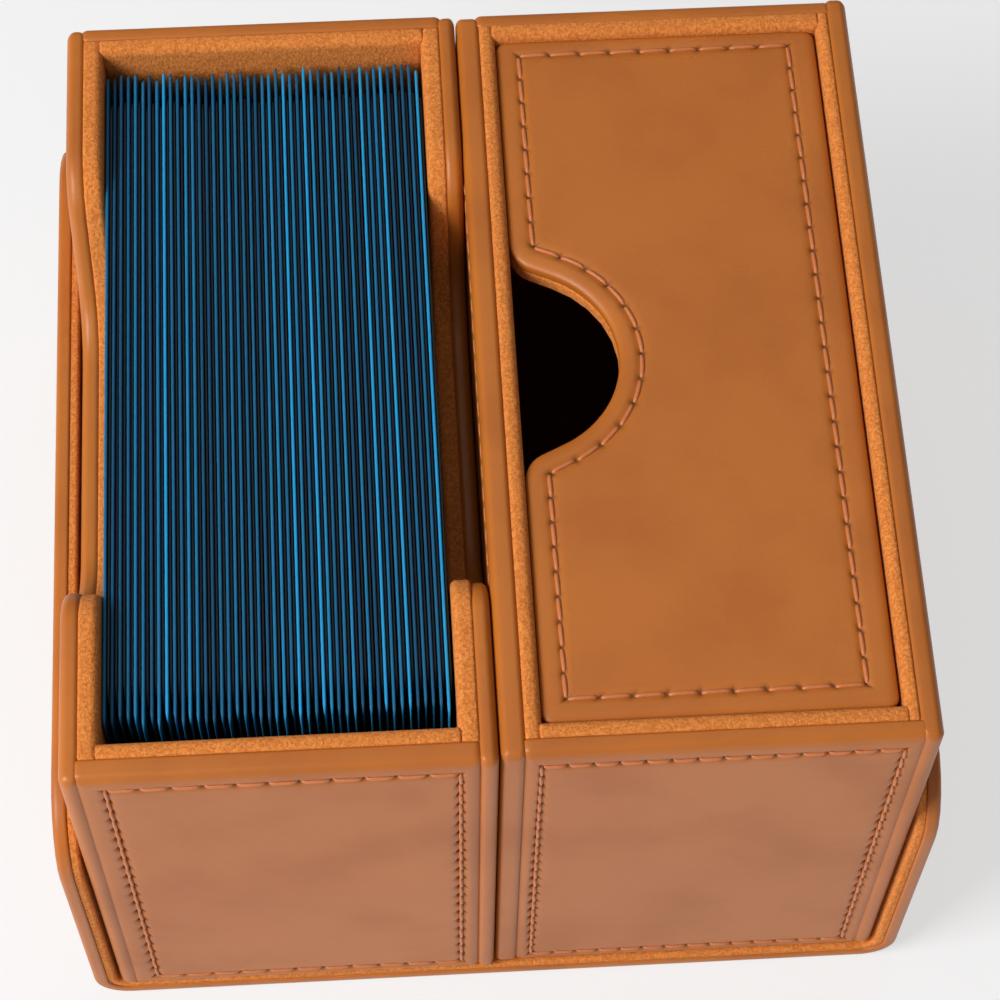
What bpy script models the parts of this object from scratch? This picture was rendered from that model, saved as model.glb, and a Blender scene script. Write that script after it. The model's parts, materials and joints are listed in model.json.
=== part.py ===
"""Card deck wallet: an open deck tray and a drawer case, side by side in a folding cover.

Metres, +Z up, +Y towards the back. The origin is on the table, under the middle of the wallet.
The tray is on the left and holds sleeved cards on their long edges, with a finger scoop in each
side wall. The drawer slides up out of the case by the thumb notch in its face. The cover's two
flaps stand against the outer walls, held there by magnets, and fold outwards on to the table.
"""

import math

import bmesh
import bpy

# Sleeved cards, standing on a long edge
CARD_HEIGHT = 0.066
CARD_LENGTH = 0.0945
CARD_COUNT = 45
CARD_PITCH = 0.00094
CARDS_IN_PACKET = 3
SLEEVE_CREST = 0.0003
SLEEVE_GROOVE = 0.0018

# Room around the deck in its tray
DECK_SIDE_PLAY = 0.00045
DECK_FRONT_ROOM = 0.0038
DECK_BACK_PLAY = 0.0019
DECK_HEADROOM = 0.0027

# Boards of the two modules, with the gap that the glue line leaves
GLUE_GAP = 0.0003
LEATHER_BOARD = 0.00215
TRAY_FRONT_BOARD = 0.00275
SUEDE_BOARD = 0.0022
FLOOR_BOARD = 0.0014
FLOOR_LINING = 0.0007
LEATHER_EDGE = 0.0009
SUEDE_EDGE = 0.0008
FLOOR_EDGE = 0.0002
BOARD_CORNER = 0.0015
MODULE_GAP = 0.0004
CASE_INNER_WIDTH = 0.0432

# Finger scoop in each side wall of the tray
SCOOP_HALF_WIDTH = 0.02975
SCOOP_DEPTH = 0.020
SCOOP_SLOPE = math.radians(66)
SCOOP_FRONT_LIP_RADIUS = 0.0055
SCOOP_BACK_LIP_RADIUS = 0.009
SCOOP_BOTTOM_RADIUS = 0.010
SCOOP_SHIFT = -0.00075

# Drawer
DRAWER_SIDE_PLAY = 0.00035
DRAWER_END_PLAY = 0.00045
DRAWER_SINK = 0.001
DRAWER_FACE_LEATHER = 0.0021
DRAWER_FACE_SUEDE = 0.002
DRAWER_BOARD = 0.002
DRAWER_CORNER = 0.0018
NOTCH_RADIUS = 0.0104
NOTCH_INSET = 0.0019
NOTCH_LIP_RADIUS = 0.0055

# Cover
COVER_LEATHER = 0.0019
COVER_LINING = 0.0009
COVER_EDGE = 0.0007
LINING_EDGE = 0.0003
LINING_INSET = 0.0003
FLAP_PLAY = 0.0004
FLAP_REACH = 0.050
FLAP_CORNER = 0.0105
FOLD_RADIUS = 0.005
FOLD_THICKNESS = 0.0022

# Magnets in the flaps and the steel discs that they meet in the module walls
MAGNET_RADIUS = 0.004
MAGNET_THICKNESS = 0.0009
KEEPER_THICKNESS = 0.0006
POCKET_CLEARANCE = 0.0003
MAGNET_BELOW_TOP = 0.009
MAGNET_SPREAD = 0.032

# Fineness of arcs, and the distance below which a curve's caps are welded to its sides
ARC_STEP = math.radians(15)
SMALL_ARC_STEP = math.radians(30)
SMALL_ARC_RADIUS = 0.002
POCKET_SIDES = 16
WELD_DISTANCE = 0.00001

# Sizes that follow
WALL = LEATHER_BOARD + GLUE_GAP + SUEDE_BOARD
DECK_WIDTH = CARD_COUNT * CARD_PITCH
TRAY_INNER_WIDTH = DECK_WIDTH + 2 * DECK_SIDE_PLAY
TRAY_WIDTH = TRAY_INNER_WIDTH + 2 * WALL
CASE_WIDTH = CASE_INNER_WIDTH + 2 * WALL
INNER_DEPTH = DECK_FRONT_ROOM + CARD_LENGTH + DECK_BACK_PLAY
FRONT_STEP = TRAY_FRONT_BOARD - LEATHER_BOARD
CASE_DEPTH = INNER_DEPTH + 2 * WALL
TRAY_DEPTH = CASE_DEPTH + FRONT_STEP
FLOOR_TOP = FLOOR_BOARD + GLUE_GAP + FLOOR_LINING
MODULE_HEIGHT = FLOOR_TOP + GLUE_GAP + CARD_HEIGHT + DECK_HEADROOM
COVER_THICKNESS = COVER_LEATHER + GLUE_GAP + COVER_LINING

# Places in the world
BACK = TRAY_DEPTH / 2
TRAY_FRONT = -BACK
CASE_FRONT = TRAY_FRONT + FRONT_STEP
INNER_BACK = BACK - WALL
INNER_FRONT = INNER_BACK - INNER_DEPTH
MODULES_WIDTH = TRAY_WIDTH + MODULE_GAP + CASE_WIDTH
TRAY_LEFT = -MODULES_WIDTH / 2
CASE_LEFT = TRAY_LEFT + TRAY_WIDTH + MODULE_GAP
COVER_HALF = MODULES_WIDTH / 2 + FLAP_PLAY + COVER_THICKNESS
MODULE_BASE = COVER_THICKNESS + GLUE_GAP
RIM = MODULE_BASE + MODULE_HEIGHT
INNER_FLOOR = MODULE_BASE + FLOOR_TOP
FLAP_TOP = COVER_THICKNESS + FLAP_REACH
FOLD_ARC = (FOLD_RADIUS - FOLD_THICKNESS / 2) * math.pi / 2
FOLD_AXIS_INSET = FOLD_RADIUS - FOLD_ARC / 2
MAGNET_HEIGHT = FLAP_TOP - MAGNET_BELOW_TOP

# How a flat outline is turned: facing up, facing the front, or facing the side
FACING_UP = (0, 0, 0)
FACING_FRONT = (math.pi / 2, 0, 0)
FACING_SIDE = (math.pi / 2, 0, math.pi / 2)

# Colour, roughness and metallic value of each finish
FINISHES = {
    "leather": ((0.55, 0.24, 0.07), 0.5, 0.0),
    "suede": ((0.68, 0.32, 0.10), 0.95, 0.0),
    "board": ((0.30, 0.15, 0.06), 0.8, 0.0),
    "sleeve": ((0.02, 0.20, 0.42), 0.35, 0.0),
    "steel": ((0.55, 0.55, 0.57), 0.3, 1.0),
}


def clear_scene():
    for old in list(bpy.data.objects):
        bpy.data.objects.remove(old, do_unlink=True)


def new_collection(name):
    collection = bpy.data.collections.new(name)
    bpy.context.scene.collection.children.link(collection)
    return collection


def give_material(piece, finish):
    """Give a piece its own material in the named finish."""
    colour, roughness, metallic = FINISHES[finish]
    material = bpy.data.materials.new(piece.name + "_" + finish)
    material.use_nodes = True
    shader = material.node_tree.nodes["Principled BSDF"]
    shader.inputs["Base Color"].default_value = (*colour, 1)
    shader.inputs["Roughness"].default_value = roughness
    shader.inputs["Metallic"].default_value = metallic
    piece.data.materials.append(material)


def carry(piece, parent, place):
    """Put a piece at its place in the world, on its parent if it has one."""
    piece.location = place
    if parent:
        piece.parent = parent
        piece.location = [at - base for at, base in zip(place, parent.location)]


def pivot(name, place):
    """An empty that carries a moving body, on that body's joint axis."""
    empty = bpy.data.objects.new(name, None)
    empty.empty_display_size = FOLD_RADIUS
    empty.location = place
    PARTS.objects.link(empty)
    return empty


def arc(centre, radius, start, end):
    """Points along an arc, both ends included, fewer on a small one."""
    step_angle = SMALL_ARC_STEP if radius < SMALL_ARC_RADIUS else ARC_STEP
    steps = max(1, round(abs(end - start) / step_angle))
    turns = [start + (end - start) * step / steps for step in range(steps + 1)]
    return [(centre[0] + radius * math.cos(turn), centre[1] + radius * math.sin(turn)) for turn in turns]


def filleted(corners):
    """Outline of a polygon given as (x, y, radius) corners, with an arc where the radius isn't 0."""
    outline = []
    for index, (x, y, radius) in enumerate(corners):
        if not radius:
            outline.append((x, y))
            continue
        before = corners[index - 1]
        after = corners[(index + 1) % len(corners)]
        to_before = math.atan2(before[1] - y, before[0] - x)
        to_after = math.atan2(after[1] - y, after[0] - x)
        opening = math.remainder(to_after - to_before, math.tau)
        reach = radius / math.sin(abs(opening) / 2)
        middle = to_before + opening / 2
        centre = (x + reach * math.cos(middle), y + reach * math.sin(middle))
        turn = math.copysign(math.pi - abs(opening), -opening)
        start = middle + math.pi - turn / 2
        outline += arc(centre, radius, start, start + turn)
    return outline


def rectangle(width, height, radius=0):
    """Rectangle from the origin to width and height, its corners rounded or square."""
    return filleted([(0, 0, radius), (width, 0, radius), (width, height, radius), (0, height, radius)])


def plate(name, finish, outline, thickness, edge, turn, place, parent=None):
    """Flat piece on an outline, its edges rounded over by edge.

    The outline's plane is the middle of the thickness, and place is where the outline's own
    origin goes in the world.
    """
    data = bpy.data.curves.new(name, "CURVE")
    data.dimensions = "2D"
    data.fill_mode = "BOTH"
    data.extrude = thickness / 2 - edge
    data.bevel_depth = edge
    data.offset = -edge
    data.bevel_resolution = 1
    spline = data.splines.new("POLY")
    spline.points.add(len(outline) - 1)
    for point, (x, y) in zip(spline.points, outline):
        point.co = (x, y, 0, 1)
    spline.use_cyclic_u = True
    piece = bpy.data.objects.new(name, data)
    PARTS.objects.link(piece)
    piece.rotation_euler = turn
    carry(piece, parent, place)
    weld = piece.modifiers.new("weld caps", "WELD")
    weld.merge_threshold = WELD_DISTANCE
    give_material(piece, finish)
    return piece


def pocket_across(plate_piece, middle, radius, depth, parent=None):
    """Cut round pockets along X into a side board, at each middle point."""
    bpy.context.view_layer.update()
    evaluated = plate_piece.evaluated_get(bpy.context.evaluated_depsgraph_get())
    solid = bpy.data.objects.new("pocketed", bpy.data.meshes.new_from_object(evaluated))
    tidy = bmesh.new()
    tidy.from_mesh(solid.data)
    bmesh.ops.remove_doubles(tidy, verts=tidy.verts, dist=WELD_DISTANCE)
    tidy.to_mesh(solid.data)
    tidy.free()
    PARTS.objects.link(solid)
    solid.matrix_world = plate_piece.matrix_world
    name = plate_piece.name
    bpy.data.objects.remove(plate_piece, do_unlink=True)
    solid.name = name
    solid.data.name = name
    if parent:
        placed = solid.matrix_world.copy()
        solid.parent = parent
        solid.matrix_parent_inverse = parent.matrix_world.inverted()
        solid.matrix_world = placed
    for number, place in enumerate(middle, 1):
        bpy.ops.mesh.primitive_cylinder_add(
            vertices=POCKET_SIDES, radius=radius, depth=depth, location=place, rotation=(0, math.pi / 2, 0))
        cutter = bpy.context.object
        cutter.name = f"{name}_pocket_{number}"
        for holder in list(cutter.users_collection):
            holder.objects.unlink(cutter)
        CUTTERS.objects.link(cutter)
        cutter.hide_render = True
        cutter.display_type = "WIRE"
        cut = solid.modifiers.new(f"pocket {number}", "BOOLEAN")
        cut.operation = "DIFFERENCE"
        cut.solver = "EXACT"
        cut.object = cutter
    return solid


def disc_across(name, thickness, place, parent=None):
    """Steel disc standing across the X axis."""
    bpy.ops.mesh.primitive_cylinder_add(
        vertices=POCKET_SIDES, radius=MAGNET_RADIUS, depth=thickness, rotation=(0, math.pi / 2, 0))
    disc = bpy.context.object
    disc.name = name
    disc.data.name = name
    for holder in list(disc.users_collection):
        holder.objects.unlink(disc)
    PARTS.objects.link(disc)
    carry(disc, parent, place)
    give_material(disc, "steel")
    return disc


def build_base():
    """The cover's floor: leather outside, suede under the modules."""
    base_half = COVER_HALF - FOLD_RADIUS - GLUE_GAP
    plate("base_leather", "leather", rectangle(2 * base_half, TRAY_DEPTH), COVER_LEATHER, COVER_EDGE,
          FACING_UP, (-base_half, TRAY_FRONT, COVER_LEATHER / 2))
    plate("base_lining", "suede", rectangle(2 * base_half, TRAY_DEPTH - 2 * LINING_INSET), COVER_LINING,
          LINING_EDGE, FACING_UP,
          (-base_half, TRAY_FRONT + LINING_INSET, COVER_THICKNESS - COVER_LINING / 2))


def build_fold(side, sign):
    """The bend between base and flap, a quarter round of leather without a board."""
    centre = (-COVER_HALF + FOLD_RADIUS, FOLD_RADIUS)
    inner = FOLD_RADIUS - FOLD_THICKNESS
    outline = arc(centre, FOLD_RADIUS, math.pi, 1.5 * math.pi) + arc(centre, inner, 1.5 * math.pi, math.pi)
    if sign > 0:
        outline = [(-x, z) for x, z in reversed(outline)]
    plate(side + "_fold", "leather", outline, TRAY_DEPTH, 0, FACING_FRONT, (0, 0, 0))


def flap_outline(inset):
    """Flap seen from the side, from the fold up, with its two upper corners rounded."""
    depth = TRAY_DEPTH - 2 * inset
    height = FLAP_TOP - FOLD_RADIUS - GLUE_GAP - inset
    upper = FLAP_CORNER - inset
    return filleted([(0, 0, 0), (depth, 0, 0), (depth, height, upper), (0, height, upper)])


def build_flap(side, sign):
    """One flap: leather outside, suede inside, two magnets between, turning about its fold."""
    axis_x = sign * (COVER_HALF - FOLD_AXIS_INSET)
    hinge = pivot(side + "_flap_hinge", (axis_x, 0, FOLD_AXIS_INSET))
    bottom = FOLD_RADIUS + GLUE_GAP
    leather_x = sign * (COVER_HALF - COVER_LEATHER / 2)
    lining_x = sign * (COVER_HALF - COVER_THICKNESS + COVER_LINING / 2)
    leather = plate(side + "_flap_leather", "leather", flap_outline(0), COVER_LEATHER, COVER_EDGE,
                    FACING_SIDE, (leather_x, TRAY_FRONT, bottom))
    plate(side + "_flap_lining", "suede", flap_outline(LINING_INSET), COVER_LINING, LINING_EDGE,
          FACING_SIDE, (lining_x, TRAY_FRONT + LINING_INSET, bottom), hinge)
    face_x = sign * (COVER_HALF - COVER_LEATHER)
    magnet_x = face_x + sign * (GLUE_GAP + MAGNET_THICKNESS) / 2
    spots = {"front": -MAGNET_SPREAD, "back": MAGNET_SPREAD}
    pocket_depth = 2 * (MAGNET_THICKNESS + POCKET_CLEARANCE)
    pocket_across(leather, [(face_x, y, MAGNET_HEIGHT) for y in spots.values()],
                  MAGNET_RADIUS + POCKET_CLEARANCE, pocket_depth, hinge)
    for end, y in spots.items():
        disc_across(f"{side}_flap_magnet_{end}", MAGNET_THICKNESS, (magnet_x, y, MAGNET_HEIGHT), hinge)


def scooped(depth, height, middle):
    """Side wall outline with the finger scoop let into its top edge about middle."""
    run = SCOOP_DEPTH / math.tan(SCOOP_SLOPE)
    low = height - SCOOP_DEPTH
    half_low = SCOOP_HALF_WIDTH - run
    return filleted([
        (0, 0, BOARD_CORNER),
        (depth, 0, BOARD_CORNER),
        (depth, height, BOARD_CORNER),
        (middle + SCOOP_HALF_WIDTH, height, SCOOP_BACK_LIP_RADIUS),
        (middle + half_low, low, SCOOP_BOTTOM_RADIUS),
        (middle - half_low, low, SCOOP_BOTTOM_RADIUS),
        (middle - SCOOP_HALF_WIDTH, height, SCOOP_FRONT_LIP_RADIUS),
        (0, height, BOARD_CORNER),
    ])


def build_module(name, left, width, front, front_board, has_scoops):
    """One module: leather boards outside, suede boards inside, and a floor of both."""
    depth = BACK - front
    suede_base = MODULE_BASE + FLOOR_BOARD + GLUE_GAP
    suede_height = RIM - suede_base
    scoop_middle = (INNER_FRONT + INNER_BACK) / 2 + SCOOP_SHIFT
    suede_depth = INNER_DEPTH + 2 * SUEDE_BOARD
    suede_front = INNER_FRONT - SUEDE_BOARD
    if has_scoops:
        leather_outline = scooped(depth, MODULE_HEIGHT, scoop_middle - front)
        suede_outline = scooped(suede_depth, suede_height, scoop_middle - suede_front)
    else:
        leather_outline = rectangle(depth, MODULE_HEIGHT, BOARD_CORNER)
        suede_outline = rectangle(suede_depth, suede_height, BOARD_CORNER)

    outer = {"left": (left, 1), "right": (left + width, -1)}
    for side, (face, inward) in outer.items():
        leather = plate(f"{name}_{side}_leather", "leather", leather_outline, LEATHER_BOARD, LEATHER_EDGE,
                        FACING_SIDE, (face + inward * LEATHER_BOARD / 2, front, MODULE_BASE))
        plate(f"{name}_{side}_suede", "suede", suede_outline, SUEDE_BOARD, SUEDE_EDGE, FACING_SIDE,
              (face + inward * (WALL - SUEDE_BOARD / 2), suede_front, suede_base))
        if (side == "left") == (name == "tray"):
            add_keepers(name, leather, face + inward * LEATHER_BOARD, inward)

    between = width - 2 * (LEATHER_BOARD + GLUE_GAP)
    between_left = left + LEATHER_BOARD + GLUE_GAP
    ends = {"front": (front, front_board, 1), "back": (BACK, LEATHER_BOARD, -1)}
    inner_width = width - 2 * (WALL + GLUE_GAP)
    for end, (face, board, inward) in ends.items():
        plate(f"{name}_{end}_leather", "leather", rectangle(between, MODULE_HEIGHT, BOARD_CORNER), board,
              LEATHER_EDGE, FACING_FRONT, (between_left, face + inward * board / 2, MODULE_BASE))
        middle_y = face + inward * (board + GLUE_GAP + SUEDE_BOARD / 2)
        plate(f"{name}_{end}_suede", "suede", rectangle(inner_width, suede_height, BOARD_CORNER),
              SUEDE_BOARD, SUEDE_EDGE, FACING_FRONT, (left + WALL + GLUE_GAP, middle_y, suede_base))

    floor_front = front + front_board + GLUE_GAP
    floor_depth = BACK - LEATHER_BOARD - GLUE_GAP - floor_front
    plate(f"{name}_floor_board", "board", rectangle(between, floor_depth), FLOOR_BOARD, FLOOR_EDGE,
          FACING_UP, (between_left, floor_front, MODULE_BASE + FLOOR_BOARD / 2))
    plate(f"{name}_floor_lining", "suede", rectangle(inner_width, INNER_DEPTH - 2 * GLUE_GAP),
          FLOOR_LINING, FLOOR_EDGE, FACING_UP,
          (left + WALL + GLUE_GAP, INNER_FRONT + GLUE_GAP, INNER_FLOOR - FLOOR_LINING / 2))


def add_keepers(name, leather, face_x, inward):
    """Let the two steel discs that the flap's magnets meet into a wall's hidden face."""
    spots = {"front": -MAGNET_SPREAD, "back": MAGNET_SPREAD}
    pocket_across(leather, [(face_x, y, MAGNET_HEIGHT) for y in spots.values()],
                  MAGNET_RADIUS + POCKET_CLEARANCE, 2 * (KEEPER_THICKNESS + POCKET_CLEARANCE))
    keeper_x = face_x - inward * (KEEPER_THICKNESS + GLUE_GAP) / 2
    for end, y in spots.items():
        disc_across(f"{name}_keeper_{end}", KEEPER_THICKNESS, (keeper_x, y, MAGNET_HEIGHT))


def packet_outline(count):
    """A few sleeved cards seen on end: square below, one ridge for each card on top."""
    width = count * CARD_PITCH - GLUE_GAP
    pitch = width / count
    valley = CARD_HEIGHT - SLEEVE_GROOVE
    outline = [(0, 0), (width, 0), (width, valley)]
    for card in reversed(range(count)):
        crest = (card + 0.5) * pitch
        outline += [(crest + SLEEVE_CREST / 2, CARD_HEIGHT), (crest - SLEEVE_CREST / 2, CARD_HEIGHT),
                    (card * pitch, valley)]
    return outline


def build_deck():
    """The deck, in packets of a few cards, which lifts straight out of the tray."""
    deck_left = TRAY_LEFT + WALL + DECK_SIDE_PLAY
    deck_middle_y = INNER_BACK - DECK_BACK_PLAY - CARD_LENGTH / 2
    deck_base = INNER_FLOOR + GLUE_GAP
    lift = pivot("deck_lift", (deck_left + DECK_WIDTH / 2, deck_middle_y, deck_base))
    starts = range(0, CARD_COUNT, CARDS_IN_PACKET)
    for number, first in enumerate(starts, 1):
        cards = min(CARDS_IN_PACKET, CARD_COUNT - first)
        x = deck_left + first * CARD_PITCH + GLUE_GAP / 2
        plate(f"card_packet_{number:02d}", "sleeve", packet_outline(cards), CARD_LENGTH, 0, FACING_FRONT,
              (x, deck_middle_y, deck_base), lift)


def notched_face(width, depth):
    """Drawer face with the thumb notch in the middle of its left edge."""
    middle = depth / 2
    reach = NOTCH_RADIUS + NOTCH_LIP_RADIUS
    across = NOTCH_LIP_RADIUS - NOTCH_INSET
    along = math.sqrt(reach ** 2 - across ** 2)
    lean = math.atan2(along, across)
    lip_top = (NOTCH_LIP_RADIUS, middle + along)
    lip_bottom = (NOTCH_LIP_RADIUS, middle - along)
    face = rectangle(width, depth, DRAWER_CORNER)
    notch = arc(lip_top, NOTCH_LIP_RADIUS, math.pi, math.pi + lean)
    notch += arc((NOTCH_INSET, middle), NOTCH_RADIUS, lean, -lean)[1:-1]
    notch += arc(lip_bottom, NOTCH_LIP_RADIUS, math.pi - lean, math.pi)
    return face + notch


def build_drawer():
    """The drawer: a notched face of leather on suede, two sides, a foot and a floor."""
    left = CASE_LEFT + WALL + DRAWER_SIDE_PLAY
    width = CASE_INNER_WIDTH - 2 * DRAWER_SIDE_PLAY
    front = INNER_FRONT + DRAWER_END_PLAY
    depth = INNER_DEPTH - 2 * DRAWER_END_PLAY
    bottom = INNER_FLOOR + GLUE_GAP
    top = RIM - DRAWER_SINK
    slide = pivot("drawer_slide", (left + width / 2, front + depth / 2, bottom))
    outline = notched_face(width, depth)
    suede_top = top - DRAWER_FACE_LEATHER - GLUE_GAP
    plate("drawer_face_leather", "leather", outline, DRAWER_FACE_LEATHER, LEATHER_EDGE, FACING_UP,
          (left, front, top - DRAWER_FACE_LEATHER / 2), slide)
    plate("drawer_face_suede", "suede", outline, DRAWER_FACE_SUEDE, SUEDE_EDGE, FACING_UP,
          (left, front, suede_top - DRAWER_FACE_SUEDE / 2), slide)

    plate("drawer_foot", "suede", rectangle(width, depth, DRAWER_CORNER), DRAWER_BOARD, SUEDE_EDGE,
          FACING_UP, (left, front, bottom + DRAWER_BOARD / 2), slide)
    wall_base = bottom + DRAWER_BOARD + GLUE_GAP
    wall_height = suede_top - DRAWER_FACE_SUEDE - GLUE_GAP - wall_base
    sides = {"front": front + DRAWER_BOARD / 2, "back": front + depth - DRAWER_BOARD / 2}
    for end, middle_y in sides.items():
        plate(f"drawer_{end}_side", "suede", rectangle(width, wall_height), DRAWER_BOARD, SUEDE_EDGE,
              FACING_FRONT, (left, middle_y, wall_base), slide)
    floor_front = front + DRAWER_BOARD + GLUE_GAP
    floor_depth = depth - 2 * (DRAWER_BOARD + GLUE_GAP)
    plate("drawer_floor", "suede", rectangle(floor_depth, wall_height), DRAWER_BOARD, SUEDE_EDGE,
          FACING_SIDE, (left + width - DRAWER_BOARD / 2, floor_front, wall_base), slide)


clear_scene()
PARTS = new_collection("card_deck_wallet")
CUTTERS = new_collection("cutters")
build_base()
for side_name, side_sign in {"left": -1, "right": 1}.items():
    build_fold(side_name, side_sign)
    build_flap(side_name, side_sign)
build_module("tray", TRAY_LEFT, TRAY_WIDTH, TRAY_FRONT, TRAY_FRONT_BOARD, True)
build_module("case", CASE_LEFT, CASE_WIDTH, CASE_FRONT, LEATHER_BOARD, False)
build_deck()
build_drawer()
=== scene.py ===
"""Looks of the card deck wallet: leather, suede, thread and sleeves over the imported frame.

Metres, +Z up, +Y towards the back. Each board, sleeve and skin is made as a flat slab in its own
(u, v, depth) space, where depth runs inwards from the face that shows, and is then put in place.
"""

import json
import math
import random

import bmesh
import bpy
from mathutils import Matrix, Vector


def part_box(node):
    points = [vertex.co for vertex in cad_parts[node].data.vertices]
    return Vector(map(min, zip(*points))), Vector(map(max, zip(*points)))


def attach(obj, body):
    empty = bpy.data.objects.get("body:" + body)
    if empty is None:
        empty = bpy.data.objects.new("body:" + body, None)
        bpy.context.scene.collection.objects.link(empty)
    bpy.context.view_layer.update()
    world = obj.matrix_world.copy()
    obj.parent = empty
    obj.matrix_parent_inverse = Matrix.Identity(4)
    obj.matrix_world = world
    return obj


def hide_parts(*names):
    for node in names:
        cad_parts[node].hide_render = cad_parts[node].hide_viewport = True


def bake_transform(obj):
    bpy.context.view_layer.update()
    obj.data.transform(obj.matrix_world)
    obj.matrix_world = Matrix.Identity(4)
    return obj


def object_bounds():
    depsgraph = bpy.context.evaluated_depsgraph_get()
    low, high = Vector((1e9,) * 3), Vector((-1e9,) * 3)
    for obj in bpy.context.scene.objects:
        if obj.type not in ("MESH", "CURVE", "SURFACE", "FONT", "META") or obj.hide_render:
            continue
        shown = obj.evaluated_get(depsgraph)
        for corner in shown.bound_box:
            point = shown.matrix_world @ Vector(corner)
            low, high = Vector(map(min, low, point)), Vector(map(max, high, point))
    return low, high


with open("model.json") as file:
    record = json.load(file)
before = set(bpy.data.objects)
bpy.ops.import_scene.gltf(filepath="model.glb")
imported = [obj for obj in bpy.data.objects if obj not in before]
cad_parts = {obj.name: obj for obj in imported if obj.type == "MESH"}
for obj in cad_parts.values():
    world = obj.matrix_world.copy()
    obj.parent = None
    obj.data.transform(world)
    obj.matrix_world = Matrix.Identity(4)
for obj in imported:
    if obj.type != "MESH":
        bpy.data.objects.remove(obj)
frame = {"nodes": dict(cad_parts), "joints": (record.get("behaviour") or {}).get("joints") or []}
cad_low, cad_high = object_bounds()

# Camera, fitted to the straight edges of the photograph
VIEW_FROM = (-0.0121029, -0.1952011, 0.4039859)
VIEW_TURN = (28.0980, -0.6400, -3.2576)
VIEW_LENS = 108.9124
VIEW_SENSOR = 36.0
VIEW_NEAR = 0.01
VIEW_FAR = 20.0


def by_edge(side, top, bottom, right=None, scoop=None):
    """A length, or a pair of them, for each kind of edge that a board has."""
    return {"left": side, "right": right or side, "top": top, "bottom": bottom, "scoop": scoop or top}


# Edges of the boards: how far the rounding reaches along the face and into the thickness
LEATHER_RIM = by_edge(side=(0.0016, 0.0012), top=(0.0018, 0.00125), bottom=(0.0012, 0.0007))
CASE_FRONT_RIM = {**LEATHER_RIM, "right": (0.0016, 0.0018)}
SIDE_RIM = by_edge(side=(0.0015, 0.0014), top=(0.0018, 0.0013), bottom=(0.0012, 0.0007))
TRAY_MIDDLE_RIM = by_edge(
    side=(0.0013, 0.0011), right=(0.0009, 0.0008), top=(0.0015, 0.0012), bottom=(0.0012, 0.0007))
CASE_MIDDLE_RIM = {
    **TRAY_MIDDLE_RIM, "left": TRAY_MIDDLE_RIM["right"], "right": TRAY_MIDDLE_RIM["left"]}
PANEL_RIM = by_edge(
    side=(0.0011, 0.0006), right=(0.0014, 0.0007), top=(0.0007, 0.0004), bottom=(0.0013, 0.0006),
    scoop=(0.0019, 0.0009))
LEATHER_BACK_RIM = (0.0005, 0.0005)
SIDE_BACK_RIM = by_edge(side=(0.0009, 0.0010), top=(0.0006, 0.0007), bottom=(0.0003, 0.0003))
GROOVED_BACK_RIM = {**SIDE_BACK_RIM, "left": (0.0014, 0.0014)}
SUEDE_RIM = (0.0008, 0.0008)
INNER_RIM = by_edge(side=SUEDE_RIM, top=(0.0012, 0.0011), bottom=SUEDE_RIM, scoop=(0.0009, 0.0008))
SUEDE_BACK_RIM = (0.0004, 0.0004)
PARTED_BACK_RIM = by_edge(side=SUEDE_BACK_RIM, top=(0.0008, 0.0007), bottom=SUEDE_BACK_RIM)
SKIN_RIM = (0.0009, 0.0009)
SKIN_BACK_RIM = (0.0003, 0.0004)
LINING_RIM = (0.0005, 0.0005)
LINING_BACK_RIM = (0.0001, 0.0001)
FLOOR_RIM = (0.0002, 0.0002)
LEATHER_CORNER = 0.0011
SUEDE_CORNER = 0.0004
DRAWER_CORNER = 0.0014
FLOOR_CORNER = 0.0002

# How finely outlines are divided: steps in a rounded edge and in a corner, and the distance between
# points. Then what counts as a point, as a corner that parts two runs of stitches, as an edge long
# enough to be a board's top, as no length at all, and as a plain rectangle
RIM_STEPS = 7
CORNER_STEPS = 6
FINE_PITCH = 0.00036
COARSE_PITCH = 0.003
SLEEVE_PITCH = 0.012
POINT_RADIUS = 0.00005
SHARP_TURN = 0.0016
TOP_SHARE = 1 / 8
NO_LENGTH = 1e-9
RECTANGLE_CORNERS = 4

# Finger scoop, as in the frame, and thumb notch, wider than it is there
SCOOP_HALF_WIDTH = 0.02975
SCOOP_DEPTH = 0.020
SCOOP_SLOPE = math.radians(66)
SCOOP_FRONT_LIP_RADIUS = 0.0055
SCOOP_BACK_LIP_RADIUS = 0.009
SCOOP_BOTTOM_RADIUS = 0.010
SCOOP_MIDDLE_Y = -0.00045
FRONT_LIPS = {"tray_left_leather": -0.0003, "tray_right_leather": 0.0008, "tray_right_suede": 0.0003}
NOTCH_RADIUS = 0.0138
NOTCH_INSET = -0.0008
NOTCH_SHIFT = 0.0006
NOTCH_FLARE = math.radians(25.5)
NOTCH_IN_SUEDE = 0.0002
NOTCH_LIP_RADIUS = 0.0043

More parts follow.
